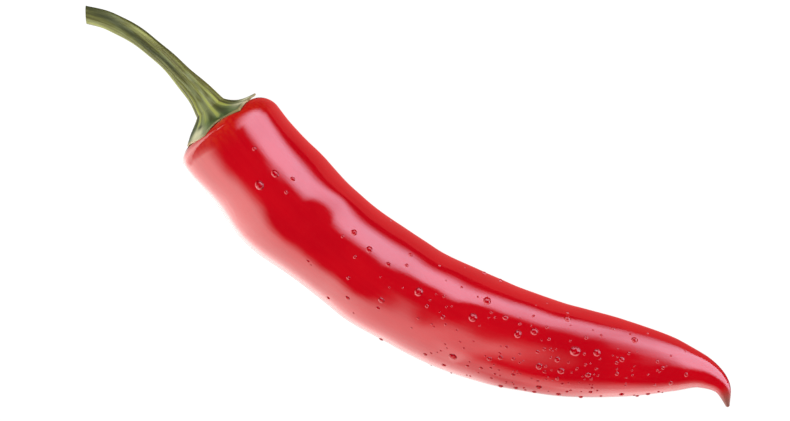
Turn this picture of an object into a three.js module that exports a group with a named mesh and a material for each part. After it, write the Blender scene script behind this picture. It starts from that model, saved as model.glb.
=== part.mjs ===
// A whole red chilli pepper, picked with its stalk and lying on its side.
//
// Three grown pieces: the pod, the leafy cup at its shoulder (calyx) and the stalk (stem).
// Millimetres, +Z up. The surface it lies on is z = 0, +X runs from the stalk towards the tip,
// and the origin is the middle of the space that the fruit covers.
//
// Every piece is a turned profile that is then bent along the line through its middle.

import * as THREE from "three";
import { mergeVertices } from "three/addons/utils/BufferGeometryUtils.js";

// --- Pod ---------------------------------------------------------------------------------

// The line through the middle of the pod, from the shoulder to the tip.
const POD_LINE = [
  [-41, 5, 10.6],
  [-32.5, 1.6, 10.5],
  [-21, -1.9, 10.8],
  [-8.5, -4, 10.1],
  [3.5, -5, 10.2],
  [16, -4.5, 9.9],
  [28, -2.5, 9.6],
  [39.5, 0.9, 8.8],
  [51, 5.7, 7.7],
  [62, 10.5, 6.6],
  [68, 12.4, 6],
  [72.5, 12, 5.6],
  [76, 9, 5.2],
];

// Half the pod's width at distances along that line: [distance, half width]. The waist behind
// the shoulder, the belly after it and the long taper to the hooked tip are all here.
const POD_WIDTHS = [
  [4, 11.2],
  [12, 10.9],
  [21, 11.7],
  [30, 10.8],
  [36, 10.6],
  [44, 10.9],
  [53, 10.6],
  [62, 10.7],
  [71, 10.3],
  [80, 9.6],
  [88, 8.9],
  [95, 8],
  [100, 7.1],
  [104, 6.2],
  [108, 5.1],
  [112, 3.7],
  [116, 2.5],
  [120, 1.3],
];

const POD_HEIGHT_RATIO = 0.94; // the pod is a little flatter than it is wide
const POD_LOBES = 3; // seed chambers, which show as soft swellings
const LOBE_SWELL = 0.04; // how far a lobe swells at the shoulder, as a share of the radius
const LOBE_SWELL_BODY = 0.008; // and along the rest of the pod
const LOBE_FADE = 26; // distance over which the shoulder's lobes fade
const LOBE_TURN = THREE.MathUtils.degToRad(40); // where the first lobe's crest is

const SHOULDER_DEPTH = 4; // distance from the top of the shoulder to its full width
const CROWN_RADIUS = 6.5; // ring that is the highest part of the shoulder
const DIMPLE = 1.2; // how far the middle of the shoulder is sunk below that ring

const POD_SIDES = 40;
const SHOULDER_STEPS = 10;
const STEPS_PER_WIDTH = 3;

// --- Calyx -------------------------------------------------------------------------------

const CALYX_GAP = 0.3; // clearance between the cup and its neighbours, pod and stalk
const CALYX_HEIGHT = 3.4; // height of the neck where the stalk starts, above the crown
const CALYX_NECK = 3.2; // radius of that neck
const CALYX_LEAN = -0.3; // the neck stands this far to one side of the pod's own line
const CALYX_EDGE = 0.5; // thickness of the leafy edge
const NECK_RUN = 2.5; // the stalk leaves the neck straight for this distance

// The edge of the cup, round the axis: its teeth and the notches between them. The hollow says
// how fast the cup sinks away from the neck, so a stout tooth has a lower one. A curled tooth
// lifts off the pod. Each row is [direction in degrees, radius, hollow, curl].
const CALYX_RIM = [
  [2, 8.5, 2.2, 0.45],
  [22, 7.6, 2.4, 0.1],
  [42, 8.1, 2.2, 0],
  [64, 9.4, 1.8, 0],
  [90, 6.6, 2.4, 0],
  [118, 9.2, 1.8, 0],
  [150, 8.4, 1.4, 0],
  [181, 8.1, 1, 0],
  [212, 7, 2, 0.1],
  [242, 8.3, 1.8, 0.2],
  [271, 6.8, 2.4, 0.1],
  [300, 8.3, 2, 0.2],
  [331, 7, 2.4, 0.1],
];

const CALYX_SIDES = 60;
const CALYX_RINGS = 8;

// --- Stem --------------------------------------------------------------------------------

// The line through the middle of the stalk, from its cut end to just before the neck.
const STEM_LINE = [
  [-74.9, 8.9, 13.6],
  [-70, 10.3, 13.5],
  [-64, 10.6, 13.1],
  [-58, 9.9, 12.6],
  [-52, 8.5, 11.9],
];

// The stalk's radius at shares of its length: [share, radius].
const STEM_RADII = [
  [0, 1.75],
  [0.2, 1.85],
  [0.5, 1.9],
  [0.75, 2.1],
  [0.9, 2.6],
  [1, 3.2],
];

const STEM_RIBS = 6; // one rib runs down to each tooth of the cup
const RIB_SHARE = 0.05; // height of the ribs at the neck, as a share of the radius
const CUT_SLOPE = -Math.tan(THREE.MathUtils.degToRad(17)); // the stalk was cut at a slant
const CUT_SHARE = 0.2; // share of the stalk over which its rings turn to that slant

const STEM_SIDES = 30;
const STEM_STEPS = 24;

// --- Bending -----------------------------------------------------------------------------

const UP = new THREE.Vector3(0, 0, 1);

// A smooth line through the given points, with places and directions along it.
function makeLine(points) {
  const curve = new THREE.CatmullRomCurve3(points.map((p) => new THREE.Vector3(...p)));
  curve.arcLengthDivisions = 600;
  const length = curve.getLength();

  // The point at a distance along the line, moved sideways and upwards across it.
  function at(distance, side, height) {
    const share = THREE.MathUtils.clamp(distance / length, 0, 1);
    const along = curve.getTangentAt(share);
    const across = new THREE.Vector3().crossVectors(UP, along).normalize();
    const over = new THREE.Vector3().crossVectors(along, across);
    const past = distance - share * length;
    return curve
      .getPointAt(share)
      .addScaledVector(along, past)
      .addScaledVector(across, side)
      .addScaledVector(over, height);
  }

  return { length, at };
}

// Turns a profile of [radius, distance] points into a closed solid, then places each of its
// points with place(radius, distance, angle), where the angle is 0 sideways and 90 deg on top.
function turned(profile, sides, place) {
  const points = profile.map(([radius, distance]) => new THREE.Vector2(radius, distance));
  const lathe = new THREE.LatheGeometry(points, sides);
  lathe.deleteAttribute("normal");
  lathe.deleteAttribute("uv");
  const solid = mergeVertices(lathe, 1e-5);
  const position = solid.attributes.position;
  for (let i = 0; i < position.count; i += 1) {
    const x = position.getX(i);
    const z = -position.getZ(i);
    const moved = place(Math.hypot(x, z), position.getY(i), Math.atan2(z, x));
    position.setXYZ(i, moved.x, moved.y, moved.z);
  }
  return withoutSlivers(solid);
}

// Drops the triangles that a turned profile leaves with no area where it meets its axis.
function withoutSlivers(geometry) {
  const index = geometry.index.array;
  const kept = [];
  for (let i = 0; i < index.length; i += 3) {
    const [a, b, c] = [index[i], index[i + 1], index[i + 2]];
    if (a !== b && b !== c && c !== a) kept.push(a, b, c);
  }
  geometry.setIndex(kept);
  geometry.computeVertexNormals();
  return geometry;
}

function smoothStep(from, to, value) {
  return THREE.MathUtils.smoothstep(value, from, to);
}

// --- The pod's shape ---------------------------------------------------------------------

const podLine = makeLine(POD_LINE);

// How far below the top of the shoulder its surface lies at a radius.
function shoulderDepth(radius) {
  if (radius < CROWN_RADIUS) {
    return (DIMPLE * (1 + Math.cos((Math.PI * radius) / CROWN_RADIUS))) / 2;
  }
  const share = (radius - CROWN_RADIUS) / (POD_WIDTHS[0][1] - CROWN_RADIUS);
  return SHOULDER_DEPTH * (1 - Math.sqrt(Math.max(0, 1 - share * share)));
}

// A point of the pod, from its radius, its distance from the shoulder and its angle, moved
// sideways by a shift.
function podPoint(radius, distance, angle, shift = 0) {
  const fade = THREE.MathUtils.clamp(1 - distance / LOBE_FADE, 0, 1);
  const swell = LOBE_SWELL_BODY + (LOBE_SWELL - LOBE_SWELL_BODY) * fade * fade;
  const lobed = radius * (1 + swell * Math.cos(POD_LOBES * (angle - LOBE_TURN)));
  return podLine.at(
    distance,
    lobed * Math.cos(angle) + shift,
    lobed * Math.sin(angle) * POD_HEIGHT_RATIO,
  );
}

function makePod() {
  const widest = POD_WIDTHS[0][1];
  const shoulder = [];
  for (let i = 0; i < SHOULDER_STEPS; i += 1) {
    const radius = widest * Math.sin((Math.PI / 2) * (i / SHOULDER_STEPS));
    shoulder.push([radius, shoulderDepth(radius)]);
  }
  const tip = [0, podLine.length];
  const side = new THREE.SplineCurve([
    ...POD_WIDTHS.map(([distance, width]) => new THREE.Vector2(width, distance)),
    new THREE.Vector2(...tip),
  ]);
  const body = side.getPoints(STEPS_PER_WIDTH * POD_WIDTHS.length).map((p) => [p.x, p.y]);
  body[body.length - 1] = tip;
  return turned([...shoulder, ...body], POD_SIDES, (radius, distance, angle) => {
    const point = podPoint(radius, distance, angle);
    point.z = Math.max(point.z, 0); // its own weight flattens it where it lies
    return point;
  });
}

// --- The calyx's shape -------------------------------------------------------------------

// The cup's radius, hollow and curl in a direction, from the two rows of its rim on either side.
function calyxAt(angle) {
  const direction = THREE.MathUtils.euclideanModulo(THREE.MathUtils.radToDeg(angle), 360);
  const last = CALYX_RIM.length - 1;
  const next = CALYX_RIM.findIndex((row) => row[0] > direction);
  const from = CALYX_RIM[next > 0 ? next - 1 : last];
  const to = CALYX_RIM[next > 0 ? next : 0];
  const gap = THREE.MathUtils.euclideanModulo(to[0] - from[0], 360);
  const share = THREE.MathUtils.euclideanModulo(direction - from[0], 360) / gap;
  const [radius, hollow, curl] = [1, 2, 3].map((i) => THREE.MathUtils.lerp(from[i], to[i], share));
  return { radius, hollow, curl };
}

// The cup is turned as a flat lens, with share 0 at the axis and 1 at its edge, and its two
// faces are then laid over the shoulder: level 0 is the top and level 1 the underside.
function makeCalyx() {
  const shares = Array.from({ length: CALYX_RINGS + 1 }, (_, i) => i / CALYX_RINGS);
  const outwards = shares.map((share) => [share, 0]);
  const inwards = shares.map((share) => [share, 1]).reverse();
  return turned([...outwards, ...inwards], CALYX_SIDES, (share, level, angle) => {
    const cup = calyxAt(angle);
    const radius = share * cup.radius;
    const run = THREE.MathUtils.clamp((radius - CALYX_NECK) / (cup.radius - CALYX_NECK), 0, 1);
    const under = CALYX_GAP + cup.curl * run * run - shoulderDepth(radius);
    const neck = CALYX_HEIGHT - under - CALYX_EDGE;
    const top = under + CALYX_EDGE + neck * (1 - run) ** cup.hollow;
    const height = level === 0 ? top : under;
    return podPoint(radius, -height, angle, (CALYX_LEAN * height) / CALYX_HEIGHT);
  });
}

// --- The stem's shape --------------------------------------------------------------------

function makeStem() {
  const end = CALYX_HEIGHT + CALYX_GAP;
  const neck = [end + NECK_RUN, end].map((height) => podLine.at(-height, CALYX_LEAN, 0));
  const line = makeLine([...STEM_LINE, ...neck.map((point) => point.toArray())]);
  const radii = new THREE.SplineCurve(
    STEM_RADII.map(([share, radius]) => new THREE.Vector2(share, radius)),
  );
  const side = radii.getPoints(STEM_STEPS).map((p) => [p.y, p.x * line.length]);
  const profile = [[0, 0], ...side, [0, line.length]];
  return turned(profile, STEM_SIDES, (radius, distance, angle) => {
    const share = distance / line.length;
    const ribbed = radius * (1 + RIB_SHARE * share * Math.cos(STEM_RIBS * angle));
    const across = ribbed * Math.cos(angle);
    const slant = across * CUT_SLOPE * (1 - smoothStep(0, CUT_SHARE, share));
    return line.at(distance + slant, across, ribbed * Math.sin(angle));
  });
}

// --- The fruit ---------------------------------------------------------------------------

function makeMesh(name, geometry, color, roughness) {
  const material = new THREE.MeshStandardMaterial({ color, roughness, metalness: 0 });
  const mesh = new THREE.Mesh(geometry, material);
  mesh.name = name;
  return mesh;
}

const chilli = new THREE.Group();
chilli.add(
  makeMesh("pod", makePod(), 0xc40010, 0.18),
  makeMesh("calyx", makeCalyx(), 0x64823f, 0.5),
  makeMesh("stem", makeStem(), 0x6e7338, 0.55),
);

export default chilli;
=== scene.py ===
import math
import random

import bpy
import numpy as np
from mathutils import Matrix


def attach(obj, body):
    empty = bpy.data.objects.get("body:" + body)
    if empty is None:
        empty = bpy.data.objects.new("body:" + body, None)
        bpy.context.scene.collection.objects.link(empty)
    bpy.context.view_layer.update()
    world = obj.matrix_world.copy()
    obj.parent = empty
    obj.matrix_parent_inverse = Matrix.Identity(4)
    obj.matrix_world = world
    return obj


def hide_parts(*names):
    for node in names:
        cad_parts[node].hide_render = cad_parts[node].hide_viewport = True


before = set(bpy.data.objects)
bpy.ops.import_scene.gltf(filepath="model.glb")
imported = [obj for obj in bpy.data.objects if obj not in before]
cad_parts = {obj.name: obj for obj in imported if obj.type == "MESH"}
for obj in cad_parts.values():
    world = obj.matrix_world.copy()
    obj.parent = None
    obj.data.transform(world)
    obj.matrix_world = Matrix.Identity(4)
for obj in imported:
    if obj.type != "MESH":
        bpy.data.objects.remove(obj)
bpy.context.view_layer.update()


# --- Pod ---------------------------------------------------------------------------------
# The fruit: one hollow berry that grew whole, with a thin waxy red skin over firm flesh. It
# hung from its stalk in a long curve, so it lies on its side, a little flat underneath. All
# lengths here are millimetres, measured along the line through its middle from the shoulder.

POD_LINE = [
    [-41, 5, 10.6],
    [-32.5, 1.6, 10.5],
    [-21, -1.9, 10.8],
    [-8.5, -4, 10.1],
    [3.5, -5, 10.2],
    [16, -4.5, 9.9],
    [28, -2.5, 9.6],
    [39.5, 0.9, 8.8],
    [51, 5.7, 7.7],
    [62, 10.5, 6.6],
    [68, 12.4, 6],
    [72.5, 12, 5.6],
    [76, 9, 5.2],
]
# Half the pod's width at distances along that line.
POD_WIDTHS = [
    [4, 11.2],
    [12, 10.9],
    [21, 11.7],
    [30, 10.8],
    [36, 10.6],
    [44, 10.9],
    [53, 10.6],
    [62, 10.7],
    [71, 10.3],
    [80, 9.6],
    [88, 8.9],
    [95, 8],
    [100, 7.1],
    [104, 6.2],
    [108, 5.1],
    [112, 3.7],
    [116, 2.5],
    [120, 1.2],
    [122.2, 0.45],
]
SHOULDER_START, SHOULDER_RADIUS = POD_WIDTHS[0]
POD_END, TIP_RADIUS = POD_WIDTHS[-1]
POD_HEIGHT_RATIO = 0.94
POD_LOBES = 3
LOBE_SHOULDER = 0.04
LOBE_BODY = 0.008
LOBE_FADE = 26
LOBE_TURN = math.radians(40)
SHOULDER_DEPTH = 4
CROWN_RADIUS = 6.5
DIMPLE = 1.2
# Dents and swellings that it grew with: [distance, direction in degrees, reach, spread in
# degrees, rise]. Direction 0 is level on the inside of the curve and 90 is straight up.
POD_DENTS = [
    [6, 14, 4, 20, -0.25],
    [16, 0, 6, 30, 0.28],
    [8, 60, 8, 18, -0.25],
    [2, 5, 3, 30, -0.25],
    [21.5, 12, 5.5, 50, -0.5],
    [5, 180, 5, 35, 0.35],
    [21, 185, 6, 35, 0.2],
    [21, 100, 11, 48, -0.3],
    [38, 84, 17, 26, 0.16],
    [38, 122, 15, 20, 0.20],
    [60, 68, 10, 16, 0.12],
    [71, 86, 8, 16, -0.20],
    [82, 112, 10, 22, -0.30],
    [92, 86, 10, 17, -0.32],
    [101, 92, 9, 34, -0.40],
    [26, 230, 12, 30, -0.15],
    [60, 300, 14, 34, -0.12],
    [84, 210, 10, 30, 0.08],
]
# Slow waves all over it: [waves along per mm, waves around, shift, rise].
POD_WAVES = [
    [0.105, 3, 0.4, 0.022],
    [0.160, -4, 2.1, 0.010],
    [0.071, 5, 4.4, 0.028],
]
POD_COLUMNS = 144
SHOULDER_ROWS = 40
BODY_ROWS = 250
TIP_ROWS = 5

MM = 0.001
UP = np.array([0.0, 0.0, 1.0])


class MiddleLine:
    """The smooth line through the middle of a bent piece, measured along its length."""

    def __init__(self, points, steps=40):
        points = np.array(points, float)
        stops = [2 * points[0] - points[1], *points, 2 * points[-1] - points[-2]]
        places = [points[0]]
        for before, start, end, after in zip(stops, stops[1:], stops[2:], stops[3:]):
            lead = np.linalg.norm(start - before) ** 0.5
            span = np.linalg.norm(end - start) ** 0.5
            tail = np.linalg.norm(after - end) ** 0.5
            leave = (start - before) / lead - (end - before) / (lead + span) + (end - start) / span
            arrive = (end - start) / span - (after - start) / (span + tail) + (after - end) / tail
            for t in np.linspace(0, 1, steps + 1)[1:]:
                places.append(
                    (2 * t**3 - 3 * t**2 + 1) * start
                    + (t**3 - 2 * t**2 + t) * span * leave
                    + (3 * t**2 - 2 * t**3) * end
                    + (t**3 - t**2) * span * arrive
                )
        self.places = np.array(places)
        strides = np.linalg.norm(np.diff(self.places, axis=0), axis=1)
        self.run = np.concatenate([[0], np.cumsum(strides)])
        self.length = self.run[-1]
        self.headings = np.gradient(self.places, self.run, axis=0)

    def at(self, distance, side, height):
        """The points at distances along the line, moved sideways and upwards across it."""
        distance, side, height = np.broadcast_arrays(distance, side, height)
        inside = np.clip(distance, 0, self.length)
        place = self._read(self.places, inside)
        along = self._read(self.headings, inside)
        along /= np.linalg.norm(along, axis=-1, keepdims=True)
        across = np.cross(UP, along)
        across /= np.linalg.norm(across, axis=-1, keepdims=True)
        over = np.cross(along, across)
        past = (distance - inside)[..., None]
        return place + along * past + across * side[..., None] + over * height[..., None]

    def _read(self, table, distance):
        return np.stack([np.interp(distance, self.run, column) for column in table.T], axis=-1)


def smooth_table(table, value):
    """Reads a table of [place, size] as one smooth curve."""
    place, size = np.array(table, float).T
    slope = np.gradient(size, place)
    left = np.clip(np.searchsorted(place, value) - 1, 0, len(place) - 2)
    span = place[left + 1] - place[left]
    t = np.clip((value - place[left]) / span, 0, 1)
    start = (1 + 2 * t) * size[left] + t * span * slope[left]
    end = (3 - 2 * t) * size[left + 1] - (1 - t) * span * slope[left + 1]
    return (1 - t) ** 2 * start + t**2 * end


def smooth_step(start, end, value):
    share = np.clip((value - start) / (end - start), 0, 1)
    return share * share * (3 - 2 * share)


def turn_between(angle, direction):
    """The turn in degrees from a direction to an angle in radians, from -180 to 180."""
    return (np.degrees(angle) - direction + 180) % 360 - 180


def bump_at(distance, angle, place, direction, reach, spread):
    """1 at a place on a bent piece, falling softly to 0 over its reach and spread."""
    off = turn_between(angle, direction) / spread
    return np.exp(-(((distance - place) / reach) ** 2) - off**2)


pod_line = MiddleLine(POD_LINE)


def shoulder_depth(radius):
    """How far below the top of the shoulder the skin lies at a radius."""
    crown = DIMPLE * (1 + np.cos(np.pi * radius / CROWN_RADIUS)) / 2
    share = (radius - CROWN_RADIUS) / (SHOULDER_RADIUS - CROWN_RADIUS)
    slope = SHOULDER_DEPTH * (1 - np.sqrt(np.clip(1 - share**2, 0, 1)))
    return np.where(radius < CROWN_RADIUS, crown, slope)


def pod_skin(radius, distance, angle, shift=0.0, dents=True):
    """The points of the pod's skin where it has a radius, at a distance and an angle."""
    fade = np.clip(1 - distance / LOBE_FADE, 0, 1) ** 2
    swell = LOBE_BODY + (LOBE_SHOULDER - LOBE_BODY) * fade
    lobed = radius * (1 + swell * np.cos(POD_LOBES * (angle - LOBE_TURN)))
    if dents:
        for place, direction, reach, spread, rise in POD_DENTS:
            lobed = lobed + rise * bump_at(distance, angle, place, direction, reach, spread)
        fade = np.clip(radius / SHOULDER_RADIUS, 0, 1) ** 2
        for along, around, shift_by, rise in POD_WAVES:
            phase = 2 * np.pi * along * distance + around * angle + shift_by
            lobed = lobed + rise * fade * np.sin(phase)
    side = lobed * np.cos(angle) + shift
    points = pod_line.at(distance, side, lobed * np.sin(angle) * POD_HEIGHT_RATIO)
    points[..., 2] = np.maximum(points[..., 2], 0)
    return points


def skin_mesh(name, rings, start, end, marks):
    """A closed skin through rings of points, from one end point to the other.

    rings[row, column] is a point in mm. Each mark is a value or a vector for every point of
    the rings, kept with the mesh for its finish to read.
    """
    rows, columns, _ = rings.shape
    points = np.vstack([[start], rings.reshape(-1, 3), [end]]) * MM
    last_ring = 1 + (rows - 1) * columns
    faces = []
    for column in range(columns):
        beside = (column + 1) % columns
        faces.append((0, 1 + beside, 1 + column))
        for row in range(rows - 1):
            here = 1 + row * columns
            following = here + columns
            faces.append((here + column, here + beside, following + beside, following + column))
        faces.append((last_ring + column, last_ring + beside, last_ring + columns))
    mesh = bpy.data.meshes.new(name)
    mesh.from_pydata(points.tolist(), [], faces)
    mesh.validate()
    for mark, values in marks.items():
        values = np.broadcast_to(values, (rows, columns, *np.shape(values)[2:]))
        flat = values.reshape(rows * columns, -1)
        first, last = flat[:columns].mean(axis=0), flat[-columns:].mean(axis=0)
        flat = np.vstack([first, flat, last]).astype(np.float32)
        wide = flat.shape[1] == 3
        layer = mesh.attributes.new(mark, "FLOAT_VECTOR" if wide else "FLOAT", "POINT")
        layer.data.foreach_set("vector" if wide else "value", flat.ravel())
    mesh.set_sharp_from_angle(angle=math.radians(50))
    piece = bpy.data.objects.new(name, mesh)
    bpy.context.scene.collection.objects.link(piece)
    return piece


class Wire:
    """A shader socket that can be used in sums like a number."""

    def __init__(self, tree, socket=None):
        self.tree = tree
        self.socket = socket

    def node(self, kind, settings=None, sockets=None, output=0):
        """Adds a node: its settings first, then the values or links of its sockets."""
        made = self.tree.nodes.new("ShaderNode" + kind)
        for name, value in (settings or {}).items():
            if name == "stops":
                ramp = made.color_ramp
                ramp.elements.remove(ramp.elements[1])
                ramp.elements[0].position = value[0][0]
                ramp.elements[0].color = (*value[0][1], 1)
                for position, colour in value[1:]:
                    ramp.elements.new(position).color = (*colour, 1)
            else:
                setattr(made, name, value)
        for name, value in (sockets or {}).items():
            if isinstance(value, Wire):
                self.tree.links.new(value.socket, made.inputs[name])
            elif made.inputs[name].type == "RGBA":
                made.inputs[name].default_value = (*value, 1)
            else:
                made.inputs[name].default_value = value
        return Wire(self.tree, made.outputs[output])

    def math(self, operation, *values):
        return self.node("Math", {"operation": operation}, dict(enumerate(values)))

    def __add__(self, other):
        return self.math("ADD", self, other)

    __radd__ = __add__

    def __sub__(self, other):
        return self.math("SUBTRACT", self, other)

    def __rsub__(self, other):
        return self.math("SUBTRACT", other, self)

    def __mul__(self, other):
        return self.math("MULTIPLY", self, other)

    __rmul__ = __mul__

    def step(self, start, end):
        """0 below the start, 1 above the end and smooth between them."""
        settings = {"interpolation_type": "SMOOTHSTEP"}
        return self.node("MapRange", settings, {"Value": self, "From Min": start, "From Max": end})

    def blend(self, first, second):
        """The first colour where this is 0, the second where it is 1."""
        settings = {"data_type": "RGBA", "clamp_factor": True}
        return self.node("Mix", settings, {0: self, 6: first, 7: second}, output=2)

    def noise(self, place, stretch, detail=3.0, roughness=0.5):
        """Soft noise from 0 to 1 over a place that is stretched first."""
        scaled = self.node("VectorMath", {"operation": "MULTIPLY"}, {0: place, 1: stretch})
        sockets = {"Vector": scaled, "Scale": 1.0, "Detail": detail, "Roughness": roughness}
        return self.node("TexNoise", {}, sockets)

    def mark(self, name, output="Fac"):
        """A mark that the mesh was made with."""
        return self.node("Attribute", {"attribute_name": name}, output=output)


class Finish:
    """One material: its wires, and the shader that takes them."""

    def __init__(self, name, **constants):
        self.material = bpy.data.materials.new(name)
        self.material.use_nodes = True
        tree = self.material.node_tree
        self.shader = tree.nodes["Principled BSDF"]
        self.wire = Wire(tree)
        for socket, value in constants.items():
            self.shader.inputs[socket.replace("_", " ")].default_value = value

    def feed(self, socket, wire):
        self.wire.tree.links.new(wire.socket, self.shader.inputs[socket])

    def bump(self, height, strength, distance):
        """Raises the surface by a height from 0 to 1, over a distance in mm."""
        sockets = {"Height": height, "Strength": strength, "Distance": distance * MM}
        self.feed("Normal", self.wire.node("Bump", {}, sockets))


def straight_place(radius, distance, angle):
    """Where a point of a bent piece would be if the piece were straight, in mm."""
    shape = np.broadcast_shapes(np.shape(radius), np.shape(distance), np.shape(angle))
    return np.stack(
        [
            np.broadcast_to(radius * np.cos(angle), shape),
            np.broadcast_to(radius * np.sin(angle), shape),
            np.broadcast_to(distance, shape),
        ],
        axis=-1,
    )


def make_pod():
    shoulder = np.linspace(0, np.pi / 2, SHOULDER_ROWS, endpoint=False)[1:]
    shoulder = SHOULDER_RADIUS * np.sin(shoulder)
    body = np.linspace(SHOULDER_START, POD_END, BODY_ROWS)
    nose = np.linspace(0, np.pi / 2, TIP_ROWS, endpoint=False)[1:]
    radius = [shoulder, smooth_table(POD_WIDTHS, body), TIP_RADIUS * np.cos(nose)]
    distance = [shoulder_depth(shoulder), body, POD_END + TIP_RADIUS * np.sin(nose)]
    radius = np.concatenate(radius)[:, None]
    distance = np.concatenate(distance)[:, None]
    angle = np.linspace(0, 2 * np.pi, POD_COLUMNS, endpoint=False)[None, :]
    rings = pod_skin(radius, distance, angle)
    start = pod_line.at(DIMPLE, 0, 0)
    end = pod_line.at(POD_END + TIP_RADIUS, 0, 0)
    marks = {"place": straight_place(radius, distance, angle)}
    return skin_mesh("pod_fruit", rings, start, end, marks)


def red_skin():
    finish = Finish("red_skin", IOR=1.46)
    wire = finish.wire
    place = wire.mark("place", "Vector")
    along = wire.node("SeparateXYZ", {}, {0: place}, output=2)
    clouds = wire.noise(place, (0.16, 0.16, 0.07), detail=2.0)
    streaks = wire.noise(place, (1.5, 1.5, 0.09), detail=3.0, roughness=0.6)
    specks = wire.noise(place, (2.6, 2.6, 1.6), detail=2.0)
    tone = (clouds * 0.7 + streaks * 0.3).step(0.35, 0.68)
    colour = tone.blend((0.47, 0.0, 0.006), (0.53, 0.0005, 0.0065))
    colour = (specks.step(0.63, 0.75) * 0.3).blend(colour, (0.58, 0.012, 0.01))
    by_stalk = (1 - along.step(0.4, 6.5)) * (0.35 + 0.65 * streaks.step(0.4, 0.62))
    colour = (by_stalk * 0.55).blend(colour, (0.55, 0.03, 0.008))
    tip = along.step(POD_END - 4.5, POD_END - 0.2)
    colour = (tip * 0.85).blend(colour, (0.16, 0.07, 0.045))
    finish.feed("Base Color", colour)
    finish.feed("Roughness", 0.06 + 0.05 * streaks + 0.02 * clouds + 0.35 * tip)
    finish.bump(streaks * 0.7 + specks * 0.3, 0.12, 0.12)
    return finish.material


pod = make_pod()
pod.data.materials.append(red_skin())
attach(pod, "root")
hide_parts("pod")


# --- Stem --------------------------------------------------------------------------------
# The stalk that the fruit hung from: green and woody, with ribs that run down it and spread
# into the leafy cup. It was snipped at a slant, so its end shows a ring of bark round pith.

CALYX_HEIGHT = 3.4
CALYX_LEAN = -0.3
NECK_RUN = 2.5
NECK_GAP = 0.3
STEM_LINE = [
    [-74.9, 8.9, 13.6],
    [-70, 10.3, 13.5],
    [-64, 10.6, 13.1],
    [-58, 9.9, 12.6],
    [-52, 8.5, 11.9],
]
STEM_RADII = [
    [0, 1.7],
    [0.2, 1.75],
    [0.5, 1.8],
    [0.75, 2.0],
    [0.9, 2.55],
    [1, 3.2],
]
# The ribs at the neck: [direction in degrees, how strong].
RIBS = [
    [2, 0.9],
    [29, 0.6],
    [54, 1.0],
    [87, 1.0],
    [118, 0.7],
    [139, 1.0],
    [163, 0.6],
    [184, 0.9],
    [214, 0.7],
    [242, 1.0],
    [271, 0.7],
    [300, 1.0],
    [331, 0.7],
]
RIB_SPREAD = 8
RIB_RISE = 0.42
# How far the ribs rise round the neck, as a share of their rise, and what they rise from.
RIB_SHARE = 0.55
RIB_MIDDLE = 0.45
# What is left of the ribs at the cut end.
RIB_FAINT = 0.28
# Slow swellings of the bark: [rise, waves along it, waves around it].
BARK_SWELLS = [
    [0.09, 9, 2],
    [0.05, 23, -1],
]
GRAIN_RADIUS = 3.0
STEM_TWIST = math.radians(24)
CUT_SLOPE = -math.tan(math.radians(17))
CUT_SHARE = 0.2
PITH_SHARE = 0.55
PITH_SINK = 0.25
# Streaks of painted highlight, then streaks of painted shade: [share of its length, direction in
# degrees, reach, spread].
STEM_PAINTED_HIGHLIGHTS = [
    [0.08, 158, 0.14, 22],
    [0.4, 172, 0.2, 14],
    [0.75, 172, 0.2, 14],
    [0.36, 50, 0.09, 16],
]
# Streaks of painted shade along the stalk's upper side and top.
STEM_PAINTED_SHADE = [
    [0.03, 34, 0.17, 30],
    [0.14, 74, 0.12, 17],
    [0.28, 96, 0.12, 14],
    [0.45, 112, 0.13, 14],
    [0.62, 100, 0.12, 12],
    [0.5, 22, 0.2, 9],
]
STEM_COLUMNS = 180
STEM_ROWS = 150
CUT_ROWS = 12


def ribs_at(angle):
    """From 0 in a furrow between two ribs to 1 on a strong rib."""
    rise = 0
    for direction, strength in RIBS:
        rise = rise + strength * np.exp(-((turn_between(angle, direction) / RIB_SPREAD) ** 2))
    return rise


neck_heights = (CALYX_HEIGHT + NECK_GAP + NECK_RUN, CALYX_HEIGHT)
neck_points = [pod_line.at(-height, CALYX_LEAN, 0).tolist() for height in neck_heights]
stem_line = MiddleLine(STEM_LINE + neck_points)


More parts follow.
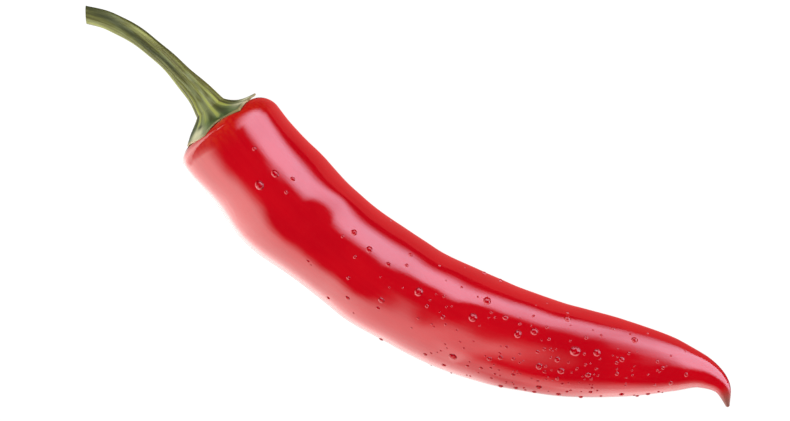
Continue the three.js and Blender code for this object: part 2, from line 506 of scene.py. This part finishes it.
def make_stem():
    cut = np.linspace(0, 1, CUT_ROWS, endpoint=False)[1:]
    share = np.concatenate([np.zeros(len(cut)), np.linspace(0, 1, STEM_ROWS) ** 1.05])
    closing = np.concatenate([cut, np.ones(STEM_ROWS)])
    sink = PITH_SINK * (1 - smooth_step(PITH_SHARE - 0.1, PITH_SHARE + 0.15, cut))
    sink = np.concatenate([sink, np.zeros(STEM_ROWS)])
    share, closing, sink = share[:, None], closing[:, None], sink[:, None]
    angle = np.linspace(0, 2 * np.pi, STEM_COLUMNS, endpoint=False)[None, :]
    twist = STEM_TWIST * (1 - share) ** 1.5
    ribs = ribs_at(angle + twist)
    strength = RIB_FAINT + (1 - RIB_FAINT) * smooth_step(0.3, 1.0, share)
    rise = RIB_RISE * RIB_SHARE * strength * (ribs - RIB_MIDDLE)
    waves = (high * np.sin(along * share + around * angle) for high, along, around in BARK_SWELLS)
    swell = sum(waves) * (1 - smooth_step(0.8, 1.0, share))
    near_pod = smooth_step(0.5, 1.0, share)
    lobes = 1 + LOBE_SHOULDER * near_pod * np.cos(POD_LOBES * (angle - LOBE_TURN))
    radius = (smooth_table(STEM_RADII, share) + rise + swell) * lobes * closing
    across = radius * np.cos(angle)
    over = radius * np.sin(angle) * (1 - (1 - POD_HEIGHT_RATIO) * near_pod)
    slant = across * CUT_SLOPE * (1 - smooth_step(0, CUT_SHARE, share))
    distance = share * stem_line.length + sink
    rings = stem_line.at(distance + slant, across, over)
    marks = {
        "place": straight_place(GRAIN_RADIUS, distance, angle + twist),
        "rib": ribs,
        "leaf": 0.6 * share**6 * np.ones_like(angle),
        "bark": closing,
        # Painted highlight (pale) and painted shade (dark) on the bark.
        "pale": 0.6 * sum(bump_at(share, angle, *streak) for streak in STEM_PAINTED_HIGHLIGHTS),
        "dark": sum(bump_at(share, angle, *streak) for streak in STEM_PAINTED_SHADE),
    }
    start = stem_line.at(PITH_SINK, 0, 0)
    return skin_mesh("stalk", rings, start, stem_line.at(stem_line.length, 0, 0), marks)


def green_skin(name):
    """Bark of the stalk that turns into leaf: the mark "leaf" is 0 on bark and 2 at a rim."""
    finish = Finish(name, IOR=1.45, Specular_IOR_Level=0.25)
    wire = finish.wire
    place = wire.mark("place", "Vector")
    rib = wire.mark("rib")
    leaf = wire.mark("leaf")
    bark = wire.mark("bark")
    fibres = wire.noise(place, (2.4, 2.4, 0.13), detail=4.0, roughness=0.65)
    clouds = wire.noise(place, (0.55, 0.55, 0.16), detail=2.0)
    grains = wire.noise(place, (5.0, 5.0, 1.6), detail=3.0)
    low = leaf.step(0.0, 0.6)
    high = leaf.step(1.0, 1.5)
    tone = fibres * 0.62 + clouds * 0.22 + rib * (0.07 + 0.12 * low * (1 - high))
    bark_stops = [
        (0.30, (0.035, 0.030, 0.003)),
        (0.42, (0.090, 0.090, 0.012)),
        (0.54, (0.175, 0.185, 0.035)),
        (0.70, (0.34, 0.36, 0.10)),
    ]
    leaf_stops = [
        (0.30, (0.018, 0.030, 0.004)),
        (0.42, (0.045, 0.080, 0.015)),
        (0.56, (0.115, 0.17, 0.045)),
        (0.74, (0.32, 0.36, 0.12)),
    ]
    on_bark = wire.node("ValToRGB", {"stops": bark_stops}, {0: tone})
    on_bark = (clouds.step(0.52, 0.68) * 0.45).blend(on_bark, (0.24, 0.28, 0.13))
    on_leaf = wire.node("ValToRGB", {"stops": leaf_stops}, {0: tone})
    colour = leaf.step(0.55, 1.45).blend(on_bark, on_leaf)
    crest = low * (1 - high) * rib.step(0.45, 0.95)
    colour = (crest * 0.65).blend(colour, (0.38, 0.41, 0.06))
    # The mark "pale" paints highlight, also on the rim's margin; the mark "dark" paints shade on the
    # stalk and darker places on the cup.
    pale = wire.mark("pale")
    painted_highlight_colour = leaf.step(0.6, 1.1).blend((0.46, 0.48, 0.13), (0.66, 0.63, 0.38))
    colour = (pale * (0.6 + 0.6 * fibres)).blend(colour, painted_highlight_colour)
    colour = (wire.mark("dark") * (0.55 + 0.6 * fibres)).blend(colour, (0.035, 0.042, 0.008))
    margin = leaf.step(1.88, 1.97) * (0.5 + 0.5 * clouds.step(0.3, 0.6))
    margin_colour = pale.step(0.1, 0.6).blend((0.34, 0.26, 0.10), (0.58, 0.50, 0.30))
    colour = (margin * 0.8).blend(colour, margin_colour)
    pith_stops = [(0.3, (0.42, 0.40, 0.22)), (0.7, (0.60, 0.60, 0.38))]
    pith = wire.node("ValToRGB", {"stops": pith_stops}, {0: grains})
    pith = bark.step(PITH_SHARE, PITH_SHARE + 0.12).blend(pith, (0.22, 0.23, 0.08))
    colour = bark.step(0.9, 0.99).blend(pith, colour)
    finish.feed("Base Color", colour)
    finish.feed("Roughness", 0.42 + 0.2 * grains)
    finish.bump(fibres * 0.75 + grains * 0.25, 0.6, 0.14)
    return finish.material


stem = make_stem()
stem.data.materials.append(green_skin("stalk_bark"))
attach(stem, "root")
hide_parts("stem")


# --- Calyx -------------------------------------------------------------------------------
# The leafy cup between stalk and pod, once the base of the flower: six pointed teeth that
# lie on the shoulder. It grew in one with the stalk, so the ribs run on into its teeth.

CALYX_GAP = 0.06
CALYX_NECK = 3.2
CALYX_EDGE = 0.32
# The edge of the cup: [direction in degrees, radius, hollow, curl]. The hollow says how fast
# the cup sinks away from the neck, and a curled tooth lifts off the pod.
CALYX_RIM = [
    [2, 8.8, 2.2, 0.5],
    [12, 8.4, 2.3, 0.2],
    [22, 7.6, 2.4, 0.1],
    [42, 8.1, 2.2, 0],
    [64, 9.5, 1.8, 0],
    [90, 6.6, 2.4, 0],
    [118, 9.3, 1.8, 0],
    [150, 8.4, 1.4, 0],
    [181, 8.3, 1, 0],
    [212, 7, 2, 0.1],
    [242, 8.4, 1.8, 0.2],
    [271, 6.8, 2.4, 0.1],
    [300, 8.4, 2, 0.2],
    [331, 7, 2.4, 0.1],
]
VEIN_RISE = 0.3
# Small ripples of its edge: how high, how many and where they start.
RIPPLE_RISE = 0.1
RIPPLES = 7
RIPPLE_SHIFT = 1.3
# Painted highlight where the teeth catch the light, and darker places: [run from the neck to the
# rim, direction in degrees, reach, spread].
CUP_PAINTED_HIGHLIGHTS = [
    [0.80, 136, 0.3, 16],
    [0.75, 46, 0.3, 13],
    [0.7, 14, 0.3, 10],
]
DARK_PLACES = [
    [0.5, 131, 0.1, 6],
    [0.35, 104, 0.3, 7],
    [0.3, 72, 0.3, 7],
    [0.2, 12, 0.25, 22],
    [1.0, 5, 0.12, 8],
    [0.97, 57, 0.1, 6],
    [0.55, 173, 0.5, 13],
    [0.1, 146, 0.2, 7],
]
CALYX_COLUMNS = 360
CALYX_ROWS = 36
UNDER_ROWS = 10


def make_calyx():
    angle = np.linspace(0, 2 * np.pi, CALYX_COLUMNS, endpoint=False)[None, :]
    direction, *edges = np.array(CALYX_RIM).T
    rim, hollow, curl = (np.interp(np.degrees(angle), direction, edge, period=360) for edge in edges)
    top_run = np.linspace(0, 1, CALYX_ROWS)[:, None]
    under_run = np.linspace(1, 0, UNDER_ROWS)[:, None]
    run = np.concatenate([top_run, under_run])
    on_top = np.concatenate([np.ones_like(top_run), np.zeros_like(under_run)])
    neck = np.where(on_top > 0, CALYX_NECK, CALYX_NECK * 0.5)
    radius = neck + (rim - neck) * run
    under = CALYX_GAP + curl * run**3 - shoulder_depth(radius)
    slope = (CALYX_HEIGHT - under - CALYX_EDGE) * (1 - run) ** hollow
    ribs = ribs_at(angle)
    veins = VEIN_RISE * (ribs - RIB_MIDDLE) * (1 - run) ** 0.8
    ripple = RIPPLE_RISE * np.sin(RIPPLES * angle + RIPPLE_SHIFT) * run**3
    height = np.where(on_top > 0, under + CALYX_EDGE + slope + ripple + veins * run, under + ripple)
    rise = RIB_RISE * RIB_SHARE * (ribs - RIB_MIDDLE) * (1 - run) ** 2
    wide = radius + np.where(on_top > 0, rise, 0)
    rings = pod_skin(wide, -height, angle, CALYX_LEAN * height / CALYX_HEIGHT, dents=False)
    marks = {
        "place": straight_place(GRAIN_RADIUS, stem_line.length + radius - CALYX_NECK, angle),
        "rib": ribs,
        "leaf": 0.6 + 1.4 * run * np.ones_like(angle),
        "bark": np.ones_like(ribs * run),
        # The pale mark is painted highlight on the teeth.
        "pale": sum(bump_at(run, angle, *place) for place in CUP_PAINTED_HIGHLIGHTS),
        "dark": sum(bump_at(run, angle, *place) for place in DARK_PLACES),
    }
    start = pod_line.at(-CALYX_HEIGHT, CALYX_LEAN, 0)
    end = pod_line.at(DIMPLE - 0.1, 0, 0)
    return skin_mesh("leafy_cup", rings, start, end, marks)


calyx = make_calyx()
calyx.data.materials.append(green_skin("cup_leaf"))
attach(calyx, "root")
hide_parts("calyx")


# --- Water drops -------------------------------------------------------------------------
# The fruit has just been rinsed. Water beads up on its waxy skin, so each drop is a small dome with
# a steep edge that follows the skin under it. The domes are opaque, painted with the red of the skin
# seen through them, with painted shade and a painted pale crescent of focused light. They are all
# kept in one mesh.

# [distance along the pod, share of its half width to one side as seen from above, diameter]
BIG_DROPS = [
    [8.9, 0.20, 1.0],
    [15.4, -0.16, 1.9],
    [15.7, 0.19, 1.6],
    [18.7, 0.35, 1.0],
    [19.7, 0.11, 0.8],
    [35.1, 0.38, 1.4],
    [39.9, 0.30, 1.4],
    [44.7, 0.28, 1.0],
    [47.8, 0.44, 0.8],
    [47.2, -0.34, 1.2],
    [52.5, 0.14, 1.8],
    [63.7, 0.97, 1.2],
    [64.0, -0.68, 1.6],
    [64.6, 0.14, 1.8],
    [66.1, 0.52, 1.8],
    [67.6, 0.97, 1.2],
    [70.6, 0.36, 1.2],
    [70.3, -0.50, 1.0],
    [72.1, -0.42, 1.0],
    [73.9, 0.13, 1.6],
    [74.2, -0.96, 1.1],
    [76.9, 0.27, 1.6],
    [76.9, -0.94, 1.0],
    [79.6, -0.42, 1.4],
    [80.8, -0.85, 1.4],
    [82.7, -0.20, 1.2],
    [83.3, 0.69, 1.6],
    [83.9, -0.44, 1.4],
    [84.8, -0.94, 1.0],
    [85.8, 0.05, 2.2],
    [89.2, -0.46, 1.2],
    [89.2, -0.98, 1.0],
    [90.2, 0.09, 1.6],
    [95.5, 0.01, 1.2],
    [97.0, -0.91, 1.0],
    [97.7, 0.56, 1.4],
    [104.2, -0.11, 0.8],
    [106.5, -0.63, 1.0],
]
# The small drops are scattered round a middle, each at a distance and a direction in degrees.
SMALL_DROPS = 170
SMALL_DIAMETERS = (0.42, 0.95)
SMALL_MIDDLE = (76, 112)
SMALL_REACH = (19, 38)
SMALL_FIRST = (22, -5)
SMALL_LAST = (110, 185)
SCATTER_SEED = 7
SPACING = 0.55
SQUEEZE = (0.92, 1.1)
EDGE_ANGLE = math.radians(58)
# The turn toward the light, which sets where each drop's painted shade and painted crescent lie.
LIGHT_TURN = math.radians(-80)
DROP_COLUMNS = 20
DROP_ROWS = 8
DROP_SINK = 0.04


def on_pod(distance, angle, lift):
    """Points that stand a lift off the pod's skin, at distances and angles of the pod."""
    nudge = 0.05

    def skin(distance, angle):
        return pod_skin(smooth_table(POD_WIDTHS, distance), distance, angle)

    ahead = skin(distance + nudge, angle) - skin(distance - nudge, angle)
    around = skin(distance, angle + nudge / 10) - skin(distance, angle - nudge / 10)
    out = np.cross(around, ahead)
    out /= np.linalg.norm(out, axis=-1, keepdims=True)
    return skin(distance, angle) + out * np.asarray(lift)[..., None]


def drop_rings(distance, angle, diameter, squeeze):
    """The top and the rings of one drop, from its top down to its edge under the skin."""
    ball = diameter / 2 / math.sin(EDGE_ANGLE)
    slope = np.linspace(0, EDGE_ANGLE, DROP_ROWS + 1)[:, None]
    lift = ball * (np.cos(slope) - math.cos(EDGE_ANGLE))
    spread = ball * np.sin(slope)
    lift[-1] = -DROP_SINK
    turn = np.linspace(0, 2 * np.pi, DROP_COLUMNS, endpoint=False)[None, :]
    radius = smooth_table(POD_WIDTHS, distance)
    ahead = distance + spread * np.cos(turn) * squeeze
    around = angle - spread * np.sin(turn) / squeeze / radius
    return on_pod(ahead, around, np.broadcast_to(lift, ahead.shape))


def make_drops():
    chance = random.Random(SCATTER_SEED)
    drops = [(distance, math.acos(share), size) for distance, share, size in BIG_DROPS]
    smallest, largest = SMALL_DIAMETERS
    while len(drops) < len(BIG_DROPS) + SMALL_DROPS:
        place = [chance.gauss(middle, reach) for middle, reach in zip(SMALL_MIDDLE, SMALL_REACH)]
        size = smallest + (largest - smallest) * chance.random() ** 2
        if not all(low < p < high for low, p, high in zip(SMALL_FIRST, place, SMALL_LAST)):
            continue
        distance = place[0]
        angle = math.radians(place[1])
        radius = float(smooth_table(POD_WIDTHS, distance))
        gaps = (
            math.hypot(distance - d, (angle - a) * radius) - (size + s) * SPACING
            for d, a, s in drops
        )
        if min(gaps) > 0:
            drops.append((distance, angle, size))
    points = []
    faces = []
    slopes = np.linspace(0, 1, DROP_ROWS + 1)
    turns = np.linspace(0, 2 * np.pi, DROP_COLUMNS, endpoint=False)
    slope = np.concatenate([[0], np.repeat(slopes[1:], DROP_COLUMNS), [1]])
    facing = np.concatenate([[0], np.tile(np.cos(turns + LIGHT_TURN), DROP_ROWS), [0]])
    for distance, angle, size in drops:
        rings = drop_rings(distance, angle, size, chance.uniform(*SQUEEZE))
        first = len(points)
        points.append(rings[0, 0])
        points.extend(rings[1:].reshape(-1, 3))
        points.append(on_pod(distance, angle, -DROP_SINK))
        for column in range(DROP_COLUMNS):
            beside = (column + 1) % DROP_COLUMNS
            faces.append((first, first + 1 + column, first + 1 + beside))
            for row in range(DROP_ROWS - 1):
                here = first + 1 + row * DROP_COLUMNS
                below = here + DROP_COLUMNS
                faces.append((here + column, below + column, below + beside, here + beside))
            last = first + 1 + (DROP_ROWS - 1) * DROP_COLUMNS
            faces.append((last + beside, last + column, last + DROP_COLUMNS))
    mesh = bpy.data.meshes.new("water_drops")
    mesh.from_pydata((np.array(points) * MM).tolist(), [], faces)
    for mark, values in (("slope", slope), ("facing", facing)):
        layer = mesh.attributes.new(mark, "FLOAT", "POINT")
        layer.data.foreach_set("value", np.tile(values, len(drops)).astype(np.float32))
    mesh.set_sharp_from_angle(angle=math.radians(75))
    piece = bpy.data.objects.new("water_drops", mesh)
    bpy.context.scene.collection.objects.link(piece)
    return piece


def wet_skin():
    """Opaque drops painted red like the skin under them: painted shade at the edge toward the light
    and a painted pale crescent of focused light away from it.
    """
    finish = Finish("wet_skin", Roughness=0.06, IOR=1.33)
    wire = finish.wire
    slope = wire.mark("slope")
    facing = wire.mark("facing")
    # Painted shade: darker toward the edge, and darkest at the edge on the side toward the light.
    colour = slope.step(0.2, 0.9).blend((0.46, 0.0, 0.006), (0.36, 0.0, 0.005))
    colour = (slope.step(0.6, 0.95) * facing.step(-0.1, 0.5) * 0.6).blend(colour, (0.16, 0.0, 0.004))
    # Painted light: a pale crescent inside the edge on the side away from the light.
    pale = slope.step(0.5, 0.8) * (1 - slope.step(0.88, 1.0)) * (0 - facing).step(0.1, 0.75)
    colour = (pale * 0.75).blend(colour, (0.85, 0.16, 0.18))
    finish.feed("Base Color", colour)
    return finish.material


drops = make_drops()
drops.data.materials.append(wet_skin())
drops.visible_shadow = False
drops.visible_diffuse = False
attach(drops, "root")


# --- Floor, cards and world --------------------------------------------------------------
# The studio: a pale table that glows a little, so that shadows stay faint, two soft cards bent
# into a dome close over the fruit, and two long strips low on the table beside it. The cards
# and strips are only there to shine in its skin.

FLOOR_HALF = 9.0
FLOOR_FADE = (0.3, 2.5)
CARD_RADIUS = 0.13
CARD_ELEVATIONS = (-12, 86)
# Where the dome gives light: [azimuth, lowest elevation, highest elevation, share of its
# light], all in degrees. The upper card stands on the inside of the curve, the lower one
# on the outside, and the far patch of the lower one is near the table beyond the tip.
UPPER_LIGHT = [
    [11, -10, 28, 0],
    [17, -8, 30, 0.95],
    [22, -6, 34, 1.1],
    [40, -4, 36, 1.1],
    [50, 2, 38, 0.88],
    [60, 8, 42, 0.66],
    [68, 9, 53, 0.74],
    [74, 13, 62, 0.87],
    [79, 20, 65, 0.95],
    [85, 24, 67, 0.98],
    [95, 25, 66, 1.08],
    [110, 22, 63, 1.08],
    [125, 21, 57, 0.98],
    [140, 20, 55, 0.6],
    [155, 20, 55, 0],
]
LOWER_LIGHT = [
    [170, -30, 20, 0],
    [195, -30, 34, 0.1],
    [212, -30, 42, 0.42],
    [225, -30, 44, 1],
    [235, -30, 42, 1.02],
    [245, -30, 40, 0.95],
    [258, -30, 36, 0.86],
    [264, -30, 33, 0.76],
    [275, -30, 40, 0.68],
    [283, -30, 48, 0.65],
    [289, -20, 56, 0.62],
    [296, 15, 62, 0.56],
    [303, 34, 67, 0.5],
    [314, 40, 67, 0.5],
    [325, 43, 64, 0.56],
    [337, 49, 62, 0.56],
    [349, 53, 62, 0.36],
    [359, 55, 62, 0.18],
    [368, 56, 62, 0],
]
FAR_LIGHT = [
    [288, -30, 32, 0],
    [296, -30, 30, 0.4],
    [307, -30, 25, 0.42],
    [316, -30, 19, 0.42],
    [325, -30, 14, 0.42],
    [335, -30, 14, 0.46],
    [345, -30, 5, 0.44],
    [355, -30, 2, 0.4],
    [368, -30, 0, 0],
]
STRIP_HEIGHT = 0.5
STRIP_GAP = 0.6
STRIP_REACH = 430
# How the strips give light: [distance along the pod, share close to it, share further out].
RED_LIGHT = [
    [-25, 0, 0],
    [5, 0.6, 1],
    [170, 0.6, 1],
]
PALE_LIGHT = [
    [-460, 0.1, 0.5],
    [-8, 0.1, 0.5],
    [2, 0.19, 0.9],
    [20, 0.14, 0.64],
    [40, 0.13, 0.56],
    [60, 0.16, 0.5],
    [70, 0.17, 0.42],
    [80, 0.14, 0.15],
    [90, 0.10, 0.3],
    [100, 0.14, 0.5],
    [170, 0.14, 0.5],
]


def glow(name, colour, strength):
    """A material that gives light, faded by the mark that its card was made with."""
    constants = {"Base_Color": (0, 0, 0, 1), "Specular_IOR_Level": 0, "Emission_Strength": strength}
    finish = Finish(name, Roughness=1.0, **constants)
    finish.feed("Emission Color", finish.wire.mark("fade").blend((0, 0, 0), colour))
    return finish.material


def grid_piece(name, points, fade):
    """An open sheet through a grid of points in metres, with its fade kept as a mark."""
    rows, columns, _ = points.shape
    faces = []
    for row in range(rows - 1):
        for column in range(columns - 1):
            here = row * columns + column
            beyond = here + columns
            faces.append((here, here + 1, beyond + 1, beyond))
    mesh = bpy.data.meshes.new(name)
    mesh.from_pydata(points.reshape(-1, 3).tolist(), [], faces)
    fade = np.broadcast_to(fade, (rows, columns)).astype(np.float32)
    mesh.attributes.new("fade", "FLOAT", "POINT").data.foreach_set("value", fade.ravel())
    piece = bpy.data.objects.new(name, mesh)
    bpy.context.scene.collection.objects.link(piece)
    return piece


def light_up(piece, colour, strength):
    """Makes a card glow, and keeps it out of sight but for its shine in the fruit."""
    piece.data.materials.append(glow(piece.name, colour, strength))
    piece.visible_camera = False
    piece.visible_diffuse = False
    piece.visible_shadow = False


def dome_card(name, patches, softness, colour, strength):
    """A card bent into a part of a dome over the table, lit in patches with soft edges."""
    azimuth = np.linspace(patches[0][0][0], patches[0][-1][0], 161)[None, :]
    elevation = np.linspace(*CARD_ELEVATIONS, 99)[:, None]
    turn = np.radians(azimuth)
    tilt = np.radians(elevation)
    across = np.cos(tilt)
    points = np.broadcast_arrays(across * np.cos(turn), across * np.sin(turn), np.sin(tilt))
    fade = 0
    for patch in patches:
        azimuths, *columns = np.array(patch, float).T
        low, high, share = (np.interp(azimuth, azimuths, column) for column in columns)
        inside = smooth_step(low - softness, low + softness, elevation)
        fade = fade + inside * smooth_step(high + softness, high - softness, elevation) * share
    piece = grid_piece(name, CARD_RADIUS * np.stack(points, axis=-1), fade)
    light_up(piece, colour, strength)


# The middle of the pod without its hooked tip, so that the strips run on straight past it.
strip_line = MiddleLine(POD_LINE[:10])


def low_strip(name, side, light, near_reach, colour, strength):
    """A strip that lies just over the table along one side of the pod."""
    distance = np.linspace(light[0][0], light[-1][0], 160)[None, :]
    out = STRIP_REACH * np.linspace(0, 1, 41)[:, None] ** 3
    edge = smooth_table(POD_WIDTHS, np.clip(distance, SHOULDER_START, 112)) * 0.9
    points = strip_line.at(distance, side * (edge + STRIP_GAP + out), 0)
    points[..., 2] = STRIP_HEIGHT
    places, *columns = np.transpose(light)
    close, far = (np.interp(distance, places, column) for column in columns)
    fade = close + (far - close) * smooth_step(0, near_reach, out)
    light_up(grid_piece(name, points * MM, fade), colour, strength)


def make_floor():
    share = np.linspace(-1, 1, 41)
    spread = np.sign(share) * np.abs(share) ** 3 * FLOOR_HALF
    x, y = np.meshgrid(spread, spread)
    points = np.stack([x, y, np.zeros_like(x)], axis=-1)
    floor = grid_piece("floor", points, smooth_step(*FLOOR_FADE, np.hypot(x, y)))
    constants = {"Base_Color": (0.12, 0.12, 0.12, 1), "Specular_IOR_Level": 0}
    finish = Finish("pale_table", Roughness=0.9, Emission_Strength=1.0, **constants)
    fade = finish.wire.mark("fade")
    finish.feed("Emission Color", fade.blend((0.93, 0.93, 0.93), (1.1, 1.1, 1.1)))
    floor.data.materials.append(finish.material)
    floor.visible_glossy = False


make_floor()
dome_card("upper_card", [UPPER_LIGHT], 12, (0.81, 0.78, 1.0), 9.6)
dome_card("lower_card", [LOWER_LIGHT, FAR_LIGHT], 11, (1.0, 0.98, 0.95), 5.8)
low_strip("red_strip", 1, RED_LIGHT, 20, (1.0, 0.19, 0.17), 1.6)
low_strip("pale_strip", -1, PALE_LIGHT, 14, (1.0, 0.97, 0.94), 7.5)

world = bpy.data.worlds.new("studio")
world.use_nodes = True
bpy.context.scene.world = world
background = world.node_tree.nodes["Background"]
background.inputs["Color"].default_value = (1, 1, 1, 1)
background.inputs["Strength"].default_value = 1.17
world.cycles_visibility.glossy = False


# --- Camera ------------------------------------------------------------------------------
# It looks straight down, turned so that the fruit lies on a slant across the picture.

VIEW_TURN = math.radians(31.5)
VIEW_CENTRE = (-2.1, 7.8)
VIEW_WIDTH = 158
VIEW_LEVEL = 10.6
VIEW_LENS = 150

lens = bpy.data.cameras.new("camera")
lens.lens = VIEW_LENS
lens.clip_start = 0.01
lens.clip_end = 20
camera = bpy.data.objects.new("camera", lens)
bpy.context.scene.collection.objects.link(camera)
distance = VIEW_WIDTH * VIEW_LENS / lens.sensor_width
place = Matrix.Translation((VIEW_CENTRE[0] * MM, VIEW_CENTRE[1] * MM, (VIEW_LEVEL + distance) * MM))
camera.matrix_world = place @ Matrix.Rotation(VIEW_TURN, 4, "Z")
bpy.context.scene.camera = camera
bpy.context.scene.view_settings.view_transform = "Standard"
